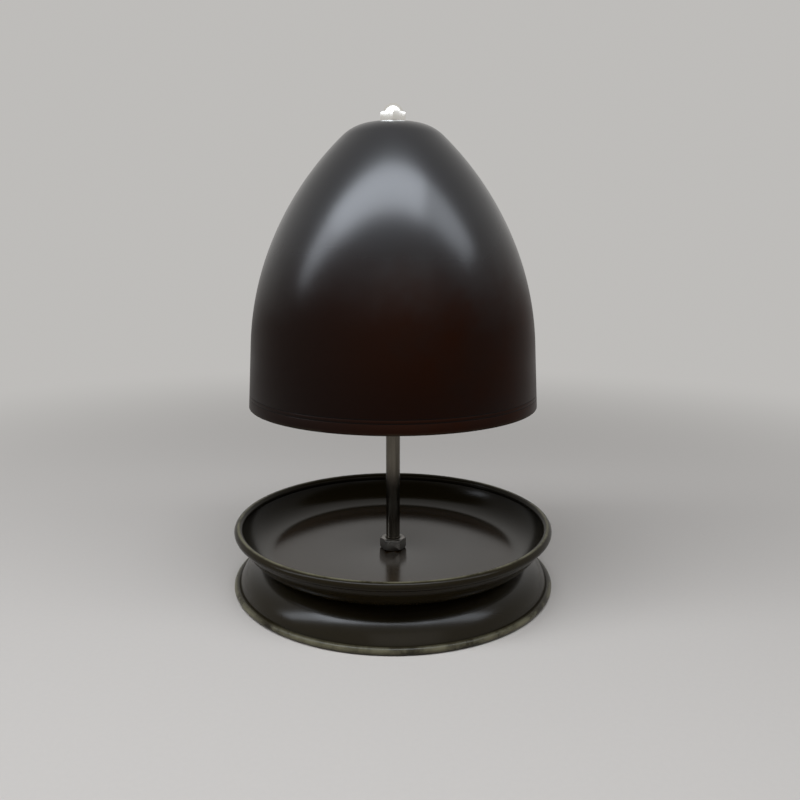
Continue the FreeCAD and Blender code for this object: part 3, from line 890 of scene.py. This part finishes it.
def thread_cutter(name, sizes, low, high):
    """Helical V tool that leaves a thread between two heights."""
    half = sizes.thread_pitch * THREAD_HALF_WIDTH + THREAD_PROUD * math.tan(THREAD_HALF_ANGLE)
    skin = sizes.rod_radius + THREAD_PROUD
    section = [(sizes.rod_radius - sizes.thread_depth, low), (skin, low - half), (skin, low + half)]
    piece = draw_chain(name, section + section[:1])
    weld()
    bpy.ops.object.mode_set(mode="OBJECT")
    only(piece)
    screw = piece.modifiers.new("Thread", "SCREW")
    screw.axis = "Z"
    screw.steps = THREAD_FACETS
    screw.render_steps = THREAD_FACETS
    screw.screw_offset = sizes.thread_pitch
    screw.iterations = math.ceil((high - low) / sizes.thread_pitch)
    bpy.ops.object.modifier_apply(modifier=screw.name)
    bpy.ops.object.mode_set(mode="EDIT")
    weld()
    bpy.ops.mesh.fill_holes(sides=len(section))
    bpy.ops.mesh.select_all(action="SELECT")
    bpy.ops.mesh.normals_make_consistent(inside=False)
    bpy.ops.object.mode_set(mode="OBJECT")
    return piece


class CentreRod(Operator):
    """Turn the centre rod and cut a thread on both of its ends"""

    bl_idname = "spun_bell.rod"
    bl_label = "Turn Rod"

    def execute(self, context):
        sizes = context.scene.hardware_sizes
        low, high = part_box("center_rod")
        radius, chamfer = sizes.rod_radius, sizes.rod_chamfer
        start_clean()
        bpy.ops.mesh.primitive_cylinder_add(
            vertices=ROD_FACETS, radius=radius, depth=high.z - low.z,
            location=(0.0, 0.0, (low.z + high.z) / 2))
        rod = added("center_rod_threaded")
        bpy.ops.object.mode_set(mode="EDIT")
        mesh = bmesh.from_edit_mesh(rod.data)
        for edge in mesh.edges:
            edge.select_set(abs(edge.verts[0].co.z - edge.verts[1].co.z) < chamfer)
        bmesh.update_edit_mesh(rod.data)
        bpy.ops.mesh.bevel(offset=chamfer, segments=1, affect="EDGES")
        bpy.ops.object.mode_set(mode="OBJECT")
        pitch = sizes.thread_pitch
        for foot, top in (
                (low.z - pitch, sizes.lower_thread_top - pitch),
                (sizes.upper_thread_foot, high.z + pitch)):
            combine(rod, thread_cutter("thread_tool", sizes, foot, top), "DIFFERENCE")
        smooth(rod, 40.0)
        settle(rod, "center_rod", bpy.data.materials["Drawn steel"])
        return {"FINISHED"}


def hexagon_sizes(sizes):
    """Radii of a nut's round face, its corners and its turned blank, and the fall of its chamfer."""
    flats = sizes.rod_radius + sizes.nut_wall
    face = flats * sizes.face_share
    corner = 2 * flats / math.sqrt(3)
    reach = corner + sizes.lead_in
    return face, corner, reach, (reach - face) * math.tan(sizes.corner_angle)


def nut_outline(sizes, height):
    """Turned outline of a plain nut: thread bore and corner chamfers, wider than the corners."""
    bore = sizes.rod_radius + sizes.bore_gap
    face, _, reach, fall = hexagon_sizes(sizes)
    lead = sizes.lead_in
    return [(bore, lead), (bore, height - lead), (bore + lead, height), (face, height),
            (reach, height - fall), (reach, fall), (face, 0.0), (bore + lead, 0.0)]


class PlainNuts(Operator):
    """Cut one hexagon nut and copy it to its five places"""

    bl_idname = "spun_bell.nuts"
    bl_label = "Cut Nuts"

    def execute(self, context):
        sizes = context.scene.hardware_sizes
        low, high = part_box("tray_nut")
        height = high.z - low.z
        corner = hexagon_sizes(sizes)[1]
        master = spin_outline("nut_master", nut_outline(sizes, height), TURNED_FACETS)
        combine(master, hexagon_tool("hexagon", corner, height * 1.5), "INTERSECT")
        soften(master, sizes.soft_edge)
        smooth(master, 30.0)
        for node, degrees in NUT_TURNS.items():
            nut = copy_to(master, node + "_hex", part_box(node)[0].z, degrees)
            settle(nut, node, bpy.data.materials["Zinc plate"])
        bpy.data.objects.remove(master)
        return {"FINISHED"}


class PlainWashers(Operator):
    """Turn one washer and copy it to its four places"""

    bl_idname = "spun_bell.washers"
    bl_label = "Turn Washers"

    def execute(self, context):
        sizes = context.scene.hardware_sizes
        low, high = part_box("base_washer")
        inner = sizes.rod_radius + sizes.washer_gap
        thick = high.z - low.z
        edge = sizes.washer_edge
        ring = [(inner, 0.0), (high.x - edge, 0.0), (high.x, edge), (high.x, thick - edge),
                (high.x - edge, thick), (inner, thick)]
        master = spin_outline("washer_master", ring, TURNED_FACETS)
        soften(master, sizes.soft_edge)
        smooth(master, 30.0)
        for node in WASHERS:
            washer = copy_to(master, node + "_ring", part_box(node)[0].z)
            settle(washer, node, bpy.data.materials["Zinc plate"])
        bpy.data.objects.remove(master)
        return {"FINISHED"}


class CapNut(Operator):
    """Turn the domed cap nut and cut its hexagon"""

    bl_idname = "spun_bell.cap_nut"
    bl_label = "Make Cap Nut"

    def execute(self, context):
        sizes = context.scene.hardware_sizes
        low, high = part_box("cap_nut")
        height = high.z - low.z
        bore = sizes.rod_radius + sizes.bore_gap
        face, corner, reach, fall = hexagon_sizes(sizes)
        hexagon = sizes.cap_hex_height
        dome = sizes.rod_radius + sizes.cap_dome_wall
        rise = height - hexagon
        ball = (dome ** 2 + rise ** 2) / (2 * rise)
        spread = math.asin(dome / ball)
        skin = []
        for step in range(DOME_STEPS + 1):
            bearing = spread * step / DOME_STEPS
            skin.append((ball * math.sin(bearing), height - ball * (1 - math.cos(bearing))))
        neck = rounded((dome, hexagon), skin[-2], (face, hexagon), sizes.cap_fillet)
        drilled = height - sizes.cap_crown_wall
        thread_end = drilled - bore * math.tan(sizes.cap_drill_angle)
        lead = sizes.lead_in
        outline = skin[:-1] + neck + [
            (face, hexagon), (reach, hexagon - fall), (reach, 0.0), (bore + lead, 0.0), (bore, lead),
            (bore, thread_end), (0.0, drilled)]
        cap = spin_outline("cap_nut_dome", outline, TURNED_FACETS)
        combine(cap, hexagon_tool("hexagon", corner, height * 1.5), "INTERSECT")
        soften(cap, sizes.soft_edge)
        smooth(cap, 30.0)
        only(cap)
        cap.location.z = low.z
        cap.rotation_euler.z = math.radians(CAP_TURN)
        bpy.ops.object.transform_apply(location=True, rotation=True, scale=True)
        settle(cap, "cap_nut", bpy.data.materials["Polished steel"])
        return {"FINISHED"}


def backdrop_strength(tree, colours, ambient):
    """1 for rays from the camera, a mirror or glass, and the ambient light for diffuse ones."""
    path = tree.nodes.new("ShaderNodeLightPath").outputs
    seen = maths(tree, "MAXIMUM", path["Is Camera Ray"], path["Is Glossy Ray"])
    seen = maths(tree, "MAXIMUM", seen, path["Is Transmission Ray"])
    unseen = maths(tree, "SUBTRACT", 1.0, seen)
    return weighted_sum(tree, seen, (unseen, ambient / max(colours.background)))


def make_world(colours, ambient):
    """Pale background all round, that lights the object only faintly."""
    world = bpy.data.worlds.new("Pale room")
    world.use_nodes = True
    tree = world.node_tree
    light = tree.nodes["Background"]
    light.inputs["Color"].default_value = rgba(colours.background)
    put(tree, backdrop_strength(tree, colours, ambient), light.inputs["Strength"])
    bpy.context.scene.world = world


def make_floor_material(colours, sizes):
    """Pale matt paper that melts into the background with distance."""
    tree, shader = new_material("Pale paper")
    place = place_parts(tree)
    fibres = noise(tree, place[0], sizes.fibre_scale, 4.0)
    darker = rgba([channel * sizes.fibre_shade for channel in colours.paper])
    tree.links.new(mixed(tree, fibres, darker, rgba(colours.paper)), shader.inputs["Base Color"])
    shader.inputs["Roughness"].default_value = 0.9
    shader.inputs["Specular IOR Level"].default_value = 0.1
    glow = tree.nodes.new("ShaderNodeEmission")
    glow.inputs["Color"].default_value = rgba(colours.background)
    put(tree, backdrop_strength(tree, colours, sizes.ambient), glow.inputs["Strength"])
    blend = tree.nodes.new("ShaderNodeMixShader")
    put(tree, ramp(tree, place[4], sizes.fade_start, sizes.fade_end), blend.inputs[0])
    tree.links.new(shader.outputs[0], blend.inputs[1])
    tree.links.new(glow.outputs[0], blend.inputs[2])
    tree.links.new(blend.outputs[0], tree.nodes["Material Output"].inputs["Surface"])


def add_lamp(name, place, size, power, tint):
    """Rectangular soft lamp that looks straight down."""
    start_clean()
    bpy.ops.object.light_add(type="AREA", location=place)
    lamp = bpy.context.active_object
    lamp.name = name
    lamp.data.shape = "RECTANGLE"
    lamp.data.size, lamp.data.size_y = size
    lamp.data.energy = power
    lamp.data.color = tint
    return lamp


class Stage(Operator):
    """Lay the pale floor, hang the lamps and place the camera"""

    bl_idname = "spun_bell.stage"
    bl_label = "Set Stage"

    def execute(self, context):
        scene = context.scene
        sizes, colours = scene.stage_sizes, scene.finish_colours
        start_clean()
        bpy.ops.mesh.primitive_circle_add(vertices=96, radius=sizes.floor_radius, fill_type="NGON")
        floor = added("floor")
        make_floor_material(colours, sizes)
        floor.data.materials.append(bpy.data.materials["Pale paper"])
        make_world(colours, sizes.ambient)
        ends = (-sizes.strip_left - sizes.left_wing, -sizes.strip_left, sizes.strip_right,
                sizes.strip_right + sizes.right_wing)
        for name, left, right, part in (
                ("left wing", ends[0], ends[1], sizes.left_share),
                ("overhead strip", ends[1], ends[2], 1.0),
                ("right wing", ends[2], ends[3], sizes.right_share)):
            power = sizes.strip_glow * part * (right - left) * sizes.strip_width
            add_lamp(name, ((left + right) / 2, -sizes.strip_front, sizes.strip_height),
                     (right - left, sizes.strip_width), power, colours.lamp)
        fill = add_lamp("front fill", sizes.fill_place, sizes.fill_size, sizes.fill_power, (1.0, 1.0, 1.0))
        aim = Vector((0.0, 0.0, sizes.fill_aim)) - fill.location
        fill.rotation_euler = aim.to_track_quat("-Z", "Y").to_euler()
        start_clean()
        bpy.ops.object.camera_add(
            location=(0.0, -sizes.camera_back, sizes.camera_height),
            rotation=(math.pi / 2 - sizes.camera_tilt, 0.0, 0.0))
        camera = context.active_object
        camera.name = "camera"
        camera.data.lens = sizes.lens
        camera.data.shift_x = sizes.shift
        camera.data.clip_start = 0.01
        scene.camera = camera
        scene.view_settings.view_transform = "Standard"
        return {"FINISHED"}


class SPUNBELL_PT_sidebar(Panel):
    """Sizes, finishes and steps of the bell"""

    bl_idname = "SPUNBELL_PT_sidebar"
    bl_label = "Spun Bell"
    bl_space_type = "VIEW_3D"
    bl_region_type = "UI"
    bl_category = "Spun Bell"

    def draw(self, context):
        for step in STEPS:
            self.layout.operator(step.bl_idname)
        for label in SETTINGS:
            settings = getattr(context.scene, label)
            box = self.layout.box()
            box.label(text=label.replace("_", " ").capitalize())
            for name in settings.__annotations__:
                box.prop(settings, name)


STEPS = (Stage, SpunDishes, CentreRod, PlainWashers, PlainNuts, SpunBells, CapNut)
SETTINGS = {
    "outer_bell_sizes": OuterBellSizes,
    "inner_bell_sizes": InnerBellSizes,
    "foot_sizes": FootSizes,
    "tray_sizes": TraySizes,
    "sheet_sizes": SheetSizes,
    "hardware_sizes": HardwareSizes,
    "finish_colours": FinishColours,
    "lacquer_finish": LacquerFinish,
    "bronze_finish": BronzeFinish,
    "stage_sizes": StageSizes,
}


def register():
    for label, group in SETTINGS.items():
        bpy.utils.register_class(group)
        setattr(bpy.types.Scene, label, PointerProperty(type=group))
    for step in STEPS:
        bpy.utils.register_class(step)
    bpy.utils.register_class(SPUNBELL_PT_sidebar)


def unregister():
    bpy.utils.unregister_class(SPUNBELL_PT_sidebar)
    for step in reversed(STEPS):
        bpy.utils.unregister_class(step)
    for label, group in reversed(SETTINGS.items()):
        delattr(bpy.types.Scene, label)
        bpy.utils.unregister_class(group)


def main():
    register()
    make_finishes(bpy.context.scene)
    bpy.ops.spun_bell.stage()
    bpy.ops.spun_bell.dishes()
    bpy.ops.spun_bell.rod()
    bpy.ops.spun_bell.washers()
    bpy.ops.spun_bell.nuts()
    bpy.ops.spun_bell.bells()
    bpy.ops.spun_bell.cap_nut()
    start_clean()


if __name__ == "__main__":
    main()
